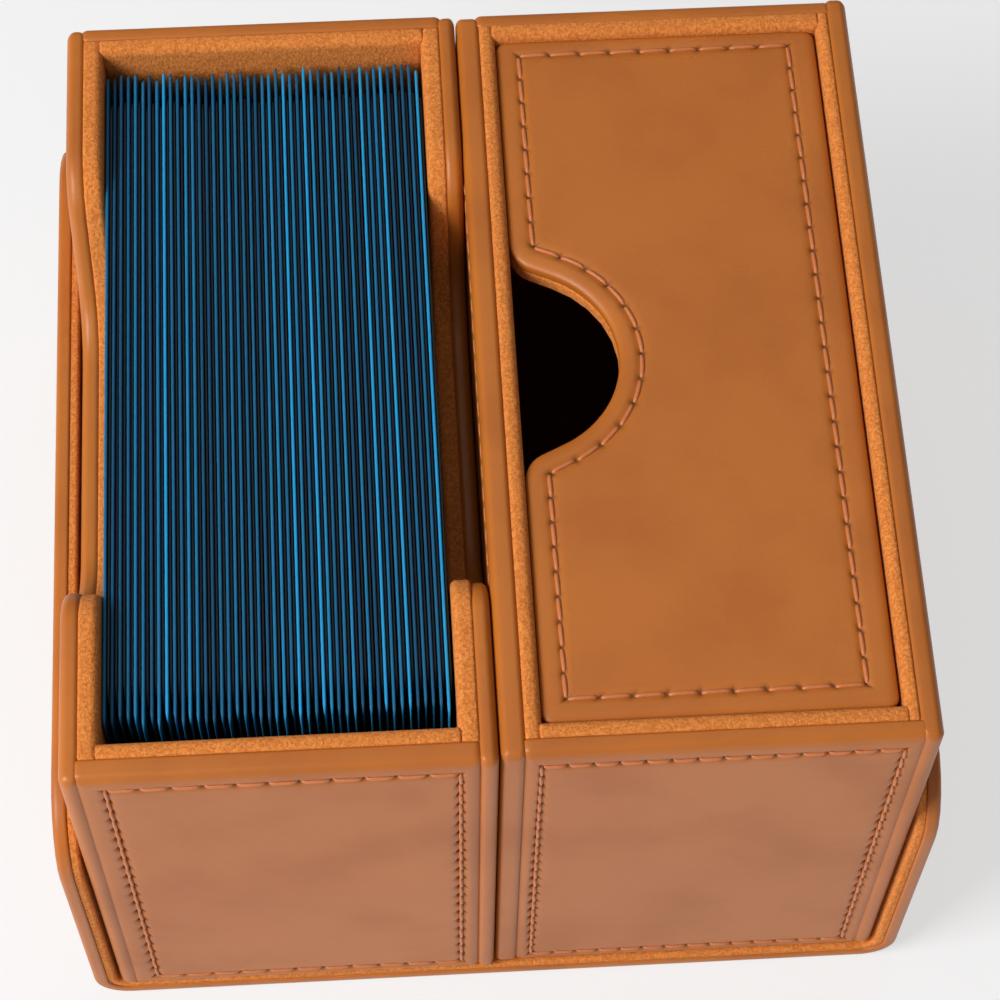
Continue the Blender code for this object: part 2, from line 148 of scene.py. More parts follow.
# Rows of stitches: distance from each edge, stitch lengths, how far they draw the leather in, how far
# the painted shade of a needle hole reaches along the row and across it, and how wide the thread is
SMALL_HOLE_SHADE = (0.00032, 0.00052)
DRAWN_HOLE_SHADE = (0.00036, 0.00074)
THICK_THREAD = 0.00058
THIN_THREAD = 0.00048
TRAY_ROW = {
    "insets": by_edge(side=0.0030, top=0.0034, bottom=0.0022),
    "stitch": {"end": 0.00385, "side": 0.00313},
    "pucker": {"end": 0.00045, "side": 0.00100},
    "groove": {"end": 0.00020, "side": 0.00024},
    "hole": {"end": SMALL_HOLE_SHADE, "side": DRAWN_HOLE_SHADE},
    "thread": {"end": THICK_THREAD, "side": THIN_THREAD},
    "recess": 0.00012,
}
TRAY_FRONT_INSETS = by_edge(side=0.0038, right=0.0027, top=0.0034, bottom=0.0022)
CASE_ROW = {
    **TRAY_ROW,
    "insets": by_edge(side=0.0024, top=0.0038, bottom=0.0022),
    "stitch": {"end": 0.00306, "side": 0.0029},
    "pucker": {"end": 0.00045, "side": 0.00090},
}
CASE_FRONT_INSETS = by_edge(side=0.00245, right=0.0029, top=0.0038, bottom=0.0022)
PANEL_ROW = {
    "insets": by_edge(side=0.0030, right=0.0037, top=0.0022, bottom=0.0031, scoop=0.0029),
    "stitch": {"end": 0.0042, "side": 0.0036},
    "pucker": {"end": 0.00020, "side": 0.00020},
    "groove": {"end": 0.00020, "side": 0.00020},
    "hole": {"end": SMALL_HOLE_SHADE, "side": SMALL_HOLE_SHADE},
    "thread": {"end": THICK_THREAD, "side": THICK_THREAD},
    "recess": 0.00010,
}
PUCKER_WIDTH = 0.00054
PUCKER_CREASE = 1.9
GROOVE_WIDTH = 0.00065
RING_OFFSETS = [0.00018, 0.0004, 0.00065, 0.00095, 0.0013, 0.0018, 0.0024]
STEPS_IN_STITCH = 10

# Thread: a stitch is thinnest and dives deepest at its two ends
THREAD_HEIGHT = 0.00046
THREAD_END_SHARE = 0.66
THREAD_DEPTH = 0.000235
THREAD_DIVE = 0.0006
THREAD_DIVE_POWER = 7
THREAD_SLANT = 0.00006
THREAD_SIDES = 8
THREAD_STEPS = 10

# Boards press against each other where the frame leaves a glue line
GLUE_LINE = 0.00028
PRESSED_IN = 0.00012
SUEDE_LAP = 0.0004

# Side walls as they stand in the photograph: shifts of the seam between leather and suede, of the suede's
# face and of the leather's face, how far the leather ends before the frame's back, and the rims
SIDE_WALLS = {
    ("tray", "left"): {
        "seam": 0.0, "inner": 0.0003, "ahead": 0.0, "short": 0.00045,
        "rim": SIDE_RIM, "back_rim": SIDE_BACK_RIM, "suede_back_rim": SUEDE_BACK_RIM},
    ("tray", "right"): {
        "seam": 0.0, "inner": -0.0003, "ahead": -0.00013, "short": 0.0006,
        "rim": TRAY_MIDDLE_RIM, "back_rim": SIDE_BACK_RIM, "suede_back_rim": SUEDE_BACK_RIM},
    ("case", "left"): {
        "seam": 0.0, "inner": 0.0, "ahead": 0.00063, "short": 0.00085,
        "rim": CASE_MIDDLE_RIM, "back_rim": SIDE_BACK_RIM, "suede_back_rim": PARTED_BACK_RIM},
    ("case", "right"): {
        "seam": -0.0003, "inner": 0.0002, "ahead": 0.00018, "short": 0.0001,
        "rim": SIDE_RIM, "back_rim": GROOVED_BACK_RIM, "suede_back_rim": SUEDE_BACK_RIM},
}

# Front and back walls: how far they swell over the side walls at their left and right ends, how far the
# leather is set in towards the front, its rim, and the stitches' distance from each edge
END_WALLS = {
    ("tray", "front"): {
        "ends": (0.0008, 0.0003), "set_in": 0.0, "rim": LEATHER_RIM, "insets": TRAY_FRONT_INSETS},
    ("tray", "back"): {
        "ends": (0.0005, 0.0005), "set_in": 0.0, "rim": LEATHER_RIM, "insets": TRAY_ROW["insets"]},
    ("case", "front"): {
        "ends": (0.00045, 0.001), "set_in": 0.0, "rim": CASE_FRONT_RIM, "insets": CASE_FRONT_INSETS},
    ("case", "back"): {
        "ends": (0.0005, 0.0005), "set_in": 0.00018, "rim": LEATHER_RIM, "insets": CASE_ROW["insets"]},
}

# The drawer's face is let out on every side, so that it fills its opening
PANEL_LET_OUT = {"left": 0.00025, "right": 0.00025, "front": 0.0003, "back": 0.0004}

# The wallet draws in towards its foot, by this share of its width at the floor
FOOT_TAPER = 0.0118

# Cover
FOLD_RADIUS = 0.005
FLAP_CORNER = 0.0105
FOLD_CUTS = 14
FOLD_SOFTNESS = 0.003
FOLD_SHARP_ANGLE = math.radians(60)
SKIN_OVERRUN = 0.004

# Sleeved cards
CARD_COUNT = 45
CARDS_IN_PACKET = 3
CARD_PITCH = 0.00094
FILM_CORNER = 0.0012
FILM_THICKNESS = 0.00040
FILM_RIM = (0.00016, 0.00016)
FILM_TIP_SHARE = 0.5
FILM_TIP_REACH = 0.0012
CARD_CORNER = 0.0030
CARD_THICKNESS = 0.00024
CARD_RIM = (0.00006, 0.00006)
CARD_BELOW_FILM = 0.0007
CARD_SHORT_OF_FILM = 0.0031
CARD_GAP = 0.00011
FILM_RISE = 0.00020
FILM_SHIFT = 0.0006
FILM_OVERRUN = 0.0004
FILM_LEAN = 0.00006
# Painted light of each sleeve: how brightly its edge catches the light, from shaded to lit blue
FILM_PAINTED_LIGHTS = [0.02, 0.06, 0.1, 0.16, 0.22, 0.3, 0.38, 0.55, 0.95]
DECK_SEED = 45

# Colours of the finishes, as shares of red, green and blue light
LEATHER_TAN = (0.470, 0.134, 0.013)
LEATHER_SMEAR = (0.350, 0.090, 0.009)
LEATHER_BLUSH = (0.420, 0.106, 0.011)
LEATHER_SPECKLE = (0.55, 0.19, 0.03)
# Painted shade in and around each needle hole and its pucker crease
NEEDLE_HOLE_SHADE = (0.050, 0.013, 0.003)
SUEDE_TONES = {"light": (0.780, 0.266, 0.058), "dark": (0.530, 0.150, 0.029)}
# Suede of the drawer's inner walls, darkened as painted shade of the deep, closed-in drawer
SHADED_DRAWER_TONES = {"light": (0.300, 0.090, 0.020), "dark": (0.190, 0.050, 0.010)}
SUEDE_SHEEN = (1.0, 0.66, 0.34, 1.0)
THREAD_DARK = (0.42, 0.110, 0.026)
THREAD_LIGHT = (0.64, 0.205, 0.060)
# Sleeve film from painted shade to painted highlight
FILM_SHADED = (0.004, 0.046, 0.105)
FILM_LIT = (0.014, 0.300, 0.600)
FILM_SCUFF = (0.03, 0.32, 0.60)
CORE_DARK = (0.030, 0.034, 0.040)
CORE_FLECK = (0.058, 0.064, 0.074)
BOARD_DARK = (0.16, 0.085, 0.035)
BOARD_LIGHT = (0.34, 0.19, 0.085)
STEEL_DARK = (0.42, 0.42, 0.44)
STEEL_LIGHT = (0.62, 0.62, 0.63)
FLOOR_DARK = (0.28, 0.28, 0.28)
FLOOR_LIGHT = (0.31, 0.31, 0.31)
WHITE = (1.0, 1.0, 1.0, 1.0)

# Studio: a floor just under the wallet, a surround, and soft boxes as (place, width, watts)
FLOOR_HALF = 3.0
FLOOR_DROP = 0.0001
SURROUND_STRENGTH = 0.16
SOFTBOX_TARGET = (0, 0, 0.04)
SOFTBOXES = {
    "left_softbox": ((-0.60, -0.30, 0.64), 0.42, 8.8),
    "front_softbox": ((-0.10, -1.10, 0.85), 0.9, 1.3),
    "top_softbox": ((0.05, 0.40, 1.20), 0.8, 1.9),
}

# Sockets of a Mix node that mixes colours
MIX_SHARE, MIX_FIRST, MIX_SECOND, MIX_RESULT = 0, 6, 7, 2

# Axes along a face, up it and out of it, for each way that a board can face
FACINGS = {
    "left": (Vector((0, -1, 0)), Vector((0, 0, 1)), Vector((-1, 0, 0))),
    "right": (Vector((0, 1, 0)), Vector((0, 0, 1)), Vector((1, 0, 0))),
    "front": (Vector((1, 0, 0)), Vector((0, 0, 1)), Vector((0, -1, 0))),
    "back": (Vector((-1, 0, 0)), Vector((0, 0, 1)), Vector((0, 1, 0))),
    "top": (Vector((1, 0, 0)), Vector((0, 1, 0)), Vector((0, 0, 1))),
}
OPPOSITE = {"left": "right", "right": "left", "front": "back", "back": "front"}


class Value:
    """Something that varies over a surface: one node's output, with arithmetic that adds Math nodes."""

    def __init__(self, finish, socket):
        self.finish = finish
        self.socket = socket

    def reckon(self, operation, first, second):
        return self.finish.node("ShaderNodeMath", {"operation": operation}, {0: first, 1: second})

    def __add__(self, other):
        return self.reckon("ADD", self, other)

    def __radd__(self, other):
        return self.reckon("ADD", other, self)

    def __mul__(self, other):
        return self.reckon("MULTIPLY", self, other)

    def __rmul__(self, other):
        return self.reckon("MULTIPLY", other, self)


class Finish:
    """A material being made: its nodes, and the shader that they feed."""

    def __init__(self, name, constants):
        self.material = bpy.data.materials.new(name)
        self.material.use_nodes = True
        self.tree = self.material.node_tree
        self.shader = self.tree.nodes["Principled BSDF"]
        for socket, value in constants.items():
            self.shader.inputs[socket].default_value = value

    def node(self, kind, settings=None, inputs=None, output=0):
        """Add a node: its settings first, then the values or links of its sockets."""
        made = self.tree.nodes.new(kind)
        for name, setting in (settings or {}).items():
            setattr(made, name, setting)
        for name, value in (inputs or {}).items():
            if isinstance(value, Value):
                self.tree.links.new(value.socket, made.inputs[name])
            else:
                made.inputs[name].default_value = value
        return Value(self, made.outputs[output])

    def place(self, stretch=(1, 1, 1)):
        """The point on the piece, in the frame's metres, stretched along each axis."""
        point = self.node("ShaderNodeTexCoord", output="Object")
        return self.node("ShaderNodeMapping", {}, {"Vector": point, "Scale": stretch})

    def noise(self, point, scale, detail=2.0, roughness=0.5, distortion=0.0):
        return self.node("ShaderNodeTexNoise", {}, {
            "Vector": point, "Scale": scale, "Detail": detail, "Roughness": roughness,
            "Distortion": distortion})

    def cells(self, point, scale):
        return self.node("ShaderNodeTexVoronoi", {"feature": "SMOOTH_F1"}, {
            "Vector": point, "Scale": scale, "Smoothness": 0.4})

    def eased(self, value, low, high):
        """0 below low, 1 above high and smooth between them."""
        return self.node("ShaderNodeMapRange", {"interpolation_type": "SMOOTHSTEP"}, {
            "Value": value, "From Min": low, "From Max": high})

    def mark(self, name):
        """A number that the mesh carries at each of its points."""
        return self.node("ShaderNodeAttribute", {"attribute_name": name}, output="Fac")

    def mixed(self, share, first, second):
        """Blend of two colours, each one a Value or plain red, green and blue."""
        first, second = [colour if isinstance(colour, Value) else (*colour, 1) for colour in (first, second)]
        return self.node("ShaderNodeMix", {"data_type": "RGBA"}, {
            MIX_SHARE: share, MIX_FIRST: first, MIX_SECOND: second}, output=MIX_RESULT)

    def bump(self, height, distance, strength=1.0):
        return self.node("ShaderNodeBump", {}, {"Height": height, "Distance": distance, "Strength": strength})

    def feed(self, socket, value):
        self.tree.links.new(value.socket, self.shader.inputs[socket])


def leather_finish():
    """Smooth tan leather with darker smears, a fine grain, and painted shade in and around the needle holes.
    """
    finish = Finish("tan_leather", {"IOR": 1.5, "Specular IOR Level": 0.45})
    point = finish.place()
    smears = finish.eased(finish.noise(point, scale=70, detail=3.0), 0.38, 0.76)
    blush = finish.eased(finish.noise(point, scale=26), 0.36, 0.70)
    speckle = finish.noise(point, scale=1500, detail=3.0, roughness=0.6)
    base = finish.mixed(smears * 0.62, LEATHER_TAN, LEATHER_SMEAR)
    base = finish.mixed(blush * 0.35, base, LEATHER_BLUSH)
    base = finish.mixed(speckle * 0.08, base, LEATHER_SPECKLE)
    # Painted shade darkens the leather in and around each needle hole
    base = finish.mixed(finish.mark("needle_hole_shade"), base, NEEDLE_HOLE_SHADE)
    finish.feed("Base Color", base)
    finish.feed("Roughness", 0.40 + speckle * 0.08 + smears * 0.05)
    pebbles = finish.cells(point, scale=1900)
    wrinkles = finish.noise(point, scale=620, detail=3.0, roughness=0.6)
    finish.feed("Normal", finish.bump(pebbles * 0.7 + wrinkles * 0.8, distance=0.00004, strength=0.35))
    return finish.material


def suede_finish(name, light, dark):
    """Microfibre suede: a short, fine nap in two tones, brushed darker in patches."""
    finish = Finish(name, {"Roughness": 0.95, "Specular IOR Level": 0.12, "Sheen Weight": 0.08,
                           "Sheen Roughness": 0.6, "Sheen Tint": SUEDE_SHEEN})
    point = finish.place((1.0, 1.0, 0.6))
    nap = finish.noise(point, scale=2600, detail=3.0, roughness=0.6, distortion=0.7)
    brushed = finish.noise(point, scale=420)
    base = finish.mixed(finish.eased(nap, 0.33, 0.67), dark, light)
    base = finish.mixed(finish.eased(brushed, 0.35, 0.75) * 0.1, base, dark)
    finish.feed("Base Color", base)
    finish.feed("Normal", finish.bump(nap + brushed * 0.3, distance=0.00018, strength=0.9))
    return finish.material


def thread_finish():
    """Waxed salmon thread with a slight sheen."""
    finish = Finish("salmon_thread", {"Roughness": 0.5, "Sheen Weight": 0.1})
    fibres = finish.noise(finish.place(), scale=5200, roughness=0.6)
    finish.feed("Base Color", finish.mixed(fibres, THREAD_DARK, THREAD_LIGHT))
    finish.feed("Normal", finish.bump(fibres, distance=0.00005, strength=0.5))
    return finish.material


def film_finish():
    """Blue sleeve film, with painted highlight and shade that differ from card to card."""
    finish = Finish("blue_film", {"Specular IOR Level": 0.25})
    scuffs = finish.noise(finish.place(), scale=900, roughness=0.6)
    # Painted highlight and shade, set for each sleeve
    base = finish.mixed(finish.mark("film_painted_light"), FILM_SHADED, FILM_LIT)
    base = finish.mixed(scuffs * 0.06, base, FILM_SCUFF)
    finish.feed("Base Color", base)
    finish.feed("Roughness", 0.45 + scuffs * 0.15)
    return finish.material


def card_finish():
    """Black core of a card, just below the film's edge."""
    finish = Finish("black_core", {"Specular IOR Level": 0.3})
    flecks = finish.noise(finish.place(), scale=1500, roughness=0.6)
    finish.feed("Base Color", finish.mixed(flecks, CORE_DARK, CORE_FLECK))
    finish.feed("Roughness", 0.45 + flecks * 0.2)
    return finish.material


def board_finish():
    """Bare brown board under the linings."""
    finish = Finish("brown_board", {"Roughness": 0.85})
    pulp = finish.noise(finish.place(), scale=700, detail=4.0, roughness=0.65)
    finish.feed("Base Color", finish.mixed(pulp, BOARD_DARK, BOARD_LIGHT))
    finish.feed("Normal", finish.bump(pulp, distance=0.00005, strength=0.5))
    return finish.material


def steel_finish():
    """Plated steel disc."""
    finish = Finish("plated_steel", {"Metallic": 1.0})
    marks = finish.noise(finish.place(), scale=900, detail=3.0, roughness=0.6)
    finish.feed("Base Color", finish.mixed(marks, STEEL_DARK, STEEL_LIGHT))
    finish.feed("Roughness", 0.24 + marks * 0.16)
    return finish.material


def floor_finish():
    """Plain pale studio floor."""
    finish = Finish("pale_floor", {"Roughness": 0.9, "Specular IOR Level": 0.1,
                                   "Emission Color": WHITE, "Emission Strength": 0.61})
    mottle = finish.noise(finish.place(), scale=3)
    finish.feed("Base Color", finish.mixed(mottle, FLOOR_DARK, FLOOR_LIGHT))
    return finish.material


class Outline:
    """A closed flat shape given as (u, v, radius) corners, anticlockwise, that can be drawn in evenly."""

    def __init__(self, corners, pitch):
        self.pitch = pitch
        count = len(corners)
        width = max(corner[0] for corner in corners)
        self.kinds = []
        self.turns = []
        for index, (u, v, radius) in enumerate(corners):
            following = corners[(index + 1) % count]
            if abs(u - following[0]) < POINT_RADIUS and min(u, width - u) < POINT_RADIUS:
                self.kinds.append("left" if u < width / 2 else "right")
            elif abs(v - following[1]) < POINT_RADIUS and abs(u - following[0]) > width * TOP_SHARE:
                self.kinds.append("bottom" if v < POINT_RADIUS else "top")
            else:
                self.kinds.append("scoop")
            here = Vector((u, v))
            arriving = (here - Vector(corners[index - 1][:2])).normalized()
            leaving = (Vector(following[:2]) - here).normalized()
            swept = math.atan2(arriving.x * leaving.y - arriving.y * leaving.x, arriving.dot(leaving))
            self.turns.append((here, arriving, leaving, swept, radius))
        self.arc_steps = [
            max(CORNER_STEPS, round(radius * abs(swept) / pitch)) for _, _, _, swept, radius in self.turns]
        self.edge_steps = []

    def tangents(self, index, inset):
        """Arc centre, radius and the two points where the corner's arc begins and ends."""
        here, arriving, leaving, swept, radius = self.turns[index]
        first = inset[self.kinds[index - 1]] if isinstance(inset, dict) else inset
        second = inset[self.kinds[index]] if isinstance(inset, dict) else inset
        across = arriving.x * leaving.y - arriving.y * leaving.x
        at = here + (leaving * first - arriving * second) / across
        sense = 1 if swept > 0 else -1
        radius = max(radius - sense * min(first, second), POINT_RADIUS)
        reach = radius * math.tan(abs(swept) / 2)
        start = at - arriving * reach
        centre = start + Vector((-arriving.y, arriving.x)) * (sense * radius)
        return centre, radius, start, at + leaving * reach

    def set_edge_steps(self, inset, stitch=None):
        """Divide each straight edge by the outline's pitch, or into whole stitches."""
        count = len(self.turns)
        for index in range(count):
            start = self.tangents(index, inset)[3]
            end = self.tangents((index + 1) % count, inset)[2]
            if stitch:
                length = stitch["side" if self.kinds[index] in ("left", "right") else "end"]
                steps = STEPS_IN_STITCH * max(1, round((end - start).length / length))
            else:
                steps = max(1, round((end - start).length / self.pitch))
            self.edge_steps.append(steps)

    def ring(self, inset):
        """The outline's points, drawn in by inset, or by an inset for each kind of edge."""
        points = []
        count = len(self.turns)
        for index in range(count):
            centre, _, start, end = self.tangents(index, inset)
            arm = start - centre
            steps = self.arc_steps[index]
            for step in range(steps + 1):
                turn = self.turns[index][3] * step / steps
                cosine, sine = math.cos(turn), math.sin(turn)
                points.append(centre + Vector((
                    arm.x * cosine - arm.y * sine, arm.x * sine + arm.y * cosine)))
            following = self.tangents((index + 1) % count, inset)[2]
            edge = self.edge_steps[index]
            points += [end.lerp(following, step / edge) for step in range(1, edge)]
        return points

    def spread(self, value):
        """For each point of a ring, the value of its edge's kind, shading over round each corner."""
        if not isinstance(value, dict):
            return [value] * (sum(self.arc_steps) + sum(self.edge_steps))
        spread = []
        for index, steps in enumerate(self.arc_steps):
            before = value[self.kinds[index - 1]]
            after = value[self.kinds[index]]
            spread += [before + (after - before) * step / steps for step in range(steps + 1)]
            spread += [after] * (self.edge_steps[index] - 1)
        return spread

    def sharp(self, inset):
        """For each point of a ring, whether it starts a new run of stitches there."""
        marks = []
        for index, steps in enumerate(self.arc_steps):
            pointed = self.tangents(index, inset)[1] <= SHARP_TURN
            marks += [pointed and step == steps // 2 for step in range(steps + 1)]
            marks += [False] * (self.edge_steps[index] - 1)
        return marks


class Seam:
    """A closed row of stitches along one ring of an outline.

    For each point of the ring, dark holds how much painted shade of a needle hole it takes and how far
    that shade reaches across the row, and pull holds how deep the groove and the pucker are.
    """

    def __init__(self, outline, row):
        self.row = row
        self.points = outline.ring(row["insets"])
        marks = outline.sharp(row["insets"])
        count = len(self.points)
        starts = [index for index in range(count) if marks[index]] or [0]
        self.runs = []
        self.dark = [(0.0, 1.0)] * count
        self.pull = [(0.0, 0.0)] * count
        for begin, finish in zip(starts, starts[1:] + [starts[0] + count]):
            indices = [index % count for index in range(begin, finish + 1)]
            path = [self.points[index] for index in indices]
            lengths = [0.0]
            for first, second in zip(path, path[1:]):
                lengths.append(lengths[-1] + (second - first).length)
            span = path[-1] - path[0]
            way = "side" if abs(span.y) > abs(span.x) else "end"
            stitches = max(1, round(lengths[-1] / row["stitch"][way]))
            self.runs.append((path, lengths, stitches, row["thread"][way]))
            gap = lengths[-1] / stitches
            for index, length in zip(indices, lengths):
                away = abs(length - round(length / gap) * gap)
                crease = (1 - math.sin(math.pi * away / gap)) ** PUCKER_CREASE
                # Painted shade of a needle hole, strongest at the hole and fading along and across the row
                along, across = row["hole"][way]
                self.dark[index] = (math.exp(-(away / along) ** 2), across)
                self.pull[index] = (row["groove"][way], row["pucker"][way] * crease)

    def sample(self, run, length):
        """Point and direction at a length along a run."""
        path, lengths = run[:2]
        at = 0
        while at < len(lengths) - 2 and lengths[at + 1] < length:
            at += 1
        step = max(lengths[at + 1] - lengths[at], NO_LENGTH)
        share = min(1.0, max(0.0, (length - lengths[at]) / step))
        return path[at].lerp(path[at + 1], share), (path[at + 1] - path[at]).normalized()


def rectangle(width, height, radius):
    return [(0, 0, radius), (width, 0, radius), (width, height, radius), (0, height, radius)]


def scooped(width, height, middle, radius, front_lip, front_first):
    """Side board outline with the finger scoop let into its top edge, its front at u = 0 or at the end.

    The front lip lies further out than the back one by front_lip.
    """
    run = SCOOP_DEPTH / math.tan(SCOOP_SLOPE)
    low = height - SCOOP_DEPTH
    half_low = SCOOP_HALF_WIDTH - run
    corners = [
        (0, 0, radius),
        (width, 0, radius),
        (width, height, radius),
        (middle + SCOOP_HALF_WIDTH, height, SCOOP_BACK_LIP_RADIUS),
        (middle + half_low, low, SCOOP_BOTTOM_RADIUS),
        (middle - half_low - front_lip, low, SCOOP_BOTTOM_RADIUS),
        (middle - SCOOP_HALF_WIDTH - front_lip, height, SCOOP_FRONT_LIP_RADIUS),
        (0, height, radius),
    ]
    if front_first:
        return corners
    return [(width - u, v, corner) for u, v, corner in reversed(corners)]


def notched(width, height, radius=NOTCH_RADIUS):
    """Drawer face outline with the thumb notch in its left edge, a little behind the middle."""
    middle = height / 2 + NOTCH_SHIFT
    lip = radius / math.cos(NOTCH_FLARE) + NOTCH_INSET * math.tan(NOTCH_FLARE)
    tip = NOTCH_INSET + radius / math.sin(NOTCH_FLARE)
    return rectangle(width, height, DRAWER_CORNER) + [
        (0, middle + lip, NOTCH_LIP_RADIUS),
        (tip, middle, radius),
        (0, middle - lip, NOTCH_LIP_RADIUS),
    ]


def notched_suede(width, height):
    """The suede board's notch, cut a little wider so that the leather's edge hides its own."""
    return notched(width, height, NOTCH_RADIUS + NOTCH_IN_SUEDE)


def by_kind(value, part):
    """One part of a rim's reach, for the whole outline or for each kind of edge."""
    if isinstance(value, dict):
        return {kind: reach[part] for kind, reach in value.items()}
    return value[part]


def scaled(value, factor, offset=0.0):
    """A length, or a length for each kind of edge, times factor and plus offset."""
    if isinstance(value, dict):
        return {kind: length * factor + offset for kind, length in value.items()}
    return value * factor + offset


def rim_rings(reach, recess=0.0):
    """(inset, depth) of the rings that round an edge over, from its side to its face."""
    along = by_kind(reach, 0)
    into = by_kind(reach, 1)
    rings = []
    for step in range(RIM_STEPS + 1):
        turn = math.pi / 2 * step / RIM_STEPS
        to_go = 1 - math.sin(turn)
        rings.append((scaled(along, 1 - math.cos(turn)), scaled(into, to_go, recess * (1 - to_go))))
    return rings


def seam_levels(seam, rim):
    """Insets of the rings beside a seam, from the inside out, closer together where it runs near an edge."""
    along = by_kind(rim, 0)
    insets = seam.row["insets"]
    margins = {kind: inset - (along[kind] if isinstance(along, dict) else along)
               for kind, inset in insets.items()}
    room = max(margins.values())
    levels = [scaled(insets, 1, away) for away in reversed(RING_OFFSETS)]
    levels.append(dict(insets))
    for away in RING_OFFSETS:
        if away < room - POINT_RADIUS:
            levels.append({kind: insets[kind] - margin * away / room for kind, margin in margins.items()})
    return levels


def seam_depth(seam, across, index):
    """How far the leather is drawn in beside a row of stitches, most of all at the needle holes."""
    groove, pucker = seam.pull[index]
    groove *= math.exp(-(across / GROOVE_WIDTH) ** 2)
    return groove + pucker * math.exp(-(across / PUCKER_WIDTH) ** 2)


def slab(outline, thickness, rim, back_rim, seam=None):
    """Rings of a closed slab, from the middle of its face round the edge to its back.

    Gives the points as (u, v, depth), the faces, and for each point how much painted needle-hole shade it
    takes.
    """
    recess = seam.row["recess"] if seam else 0.0
    levels = [(inset, recess, True) for inset in seam_levels(seam, rim)] if seam else []
    levels += [(inset, depth, False) for inset, depth in reversed(rim_rings(rim, recess))]
    levels += [(inset, scaled(depth, -1, thickness), False) for inset, depth in rim_rings(back_rim)]
    points = []
    hole_shades = []
    for inset, depth, beside_seam in levels:
        for index, (at, deep) in enumerate(zip(outline.ring(inset), outline.spread(depth))):
            hole = 0.0
            if beside_seam:
                across = (at - seam.points[index]).length
                deep += seam_depth(seam, across, index)
                # Painted shade of the needle hole at this point
                dark, reach = seam.dark[index]
                hole = dark * math.exp(-(across / reach) ** 2)
            points.append((at.x, at.y, deep))
            hole_shades.append(hole)
    count = len(outline.ring(0.0))
    faces = [tuple(range(count))]
    for level in range(len(levels) - 1):
        base = level * count
        for index in range(count):
            after = (index + 1) % count
            faces.append((base + after, base + index, base + count + index, base + count + after))
    last = (len(levels) - 1) * count
    faces.append(tuple(last + index for index in reversed(range(count))))
    return points, faces, hole_shades


def stitch_tubes(seam):
    """Every stitch of a seam as a short tube that dives into a needle hole at each end."""
    points = []
    faces = []
    for run in seam.runs:
        _, lengths, stitches, thread = run
        gap = lengths[-1] / stitches
        for number in range(stitches):
            base = len(points)
            for step in range(THREAD_STEPS + 1):
                share = step / THREAD_STEPS
                middle, along = seam.sample(run, (number + share) * gap)
                lateral = Vector((-along.y, along.x))
                end = abs(2 * share - 1)
                swell = THREAD_END_SHARE + (1 - THREAD_END_SHARE) * math.sqrt(math.sin(math.pi * share))
                deep = THREAD_DEPTH + THREAD_DIVE * end ** THREAD_DIVE_POWER
                middle = middle + lateral * (THREAD_SLANT * (2 * share - 1))
                for side in range(THREAD_SIDES):
                    turn = math.tau * side / THREAD_SIDES
                    out = lateral * (thread / 2 * swell * math.cos(turn))
                    rise = THREAD_HEIGHT / 2 * swell * math.sin(turn)
                    points.append((middle.x + out.x, middle.y + out.y, deep - rise))
            for step in range(THREAD_STEPS):
                for side in range(THREAD_SIDES):
                    first = base + step * THREAD_SIDES + side
                    second = base + step * THREAD_SIDES + (side + 1) % THREAD_SIDES
                    faces.append((first, first + THREAD_SIDES, second + THREAD_SIDES, second))
            faces.append(tuple(base + side for side in range(THREAD_SIDES)))
            end_base = base + THREAD_STEPS * THREAD_SIDES
            faces.append(tuple(end_base + side for side in reversed(range(THREAD_SIDES))))
    return points, faces


def made_piece(name, points, faces, finish, marks=None):
    """A smooth mesh object, its faces pointing out, with marks as named numbers at its points."""
    mesh = bpy.data.meshes.new(name)
    mesh.from_pydata([tuple(point) for point in points], [], faces)
    for mark, values in (marks or {}).items():
        mesh.attributes.new(mark, "FLOAT", "POINT").data.foreach_set("value", values)
    shape = bmesh.new()
    shape.from_mesh(mesh)
    bmesh.ops.recalc_face_normals(shape, faces=shape.faces)
    shape.to_mesh(mesh)
    shape.free()
    mesh.shade_smooth()
    mesh.materials.append(finish)
    piece = bpy.data.objects.new(name, mesh)
    bpy.context.scene.collection.objects.link(piece)
    return piece


def drawn_in(point):
    """A point moved towards the middle, the further the nearer it is to the floor."""
    x, y, z = point
    return Vector((x * (1 - FOOT_TAPER * (1 - z / cad_high.z)), y, z))


def in_place(points, low, high, facing):
    """Slab points put into the box from low to high, its face to the side named."""
    along, up, out = FACINGS[facing]
    corner = Vector([high[axis] if (along + up + out * -1)[axis] < 0 else low[axis] for axis in range(3)])
    return [drawn_in(corner + along * u + up * v - out * depth) for u, v, depth in points]


def extents(low, high, facing):
    """Width, height and thickness of a box seen from the side named."""
    size = high - low
    return [abs(size.dot(axis)) for axis in FACINGS[facing]]


def grown(node, facing, behind=0.0, ends=0.0):
    """Box of one of the frame's nodes, let out at the back or at both ends of a board."""
    low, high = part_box(node)
    along, _, out = FACINGS[facing]
    for way, amount in ((-out, behind), (along, ends), (-along, ends)):
        for axis in range(3):
            low[axis] += min(0.0, way[axis]) * amount
            high[axis] += max(0.0, way[axis]) * amount
    return low, high


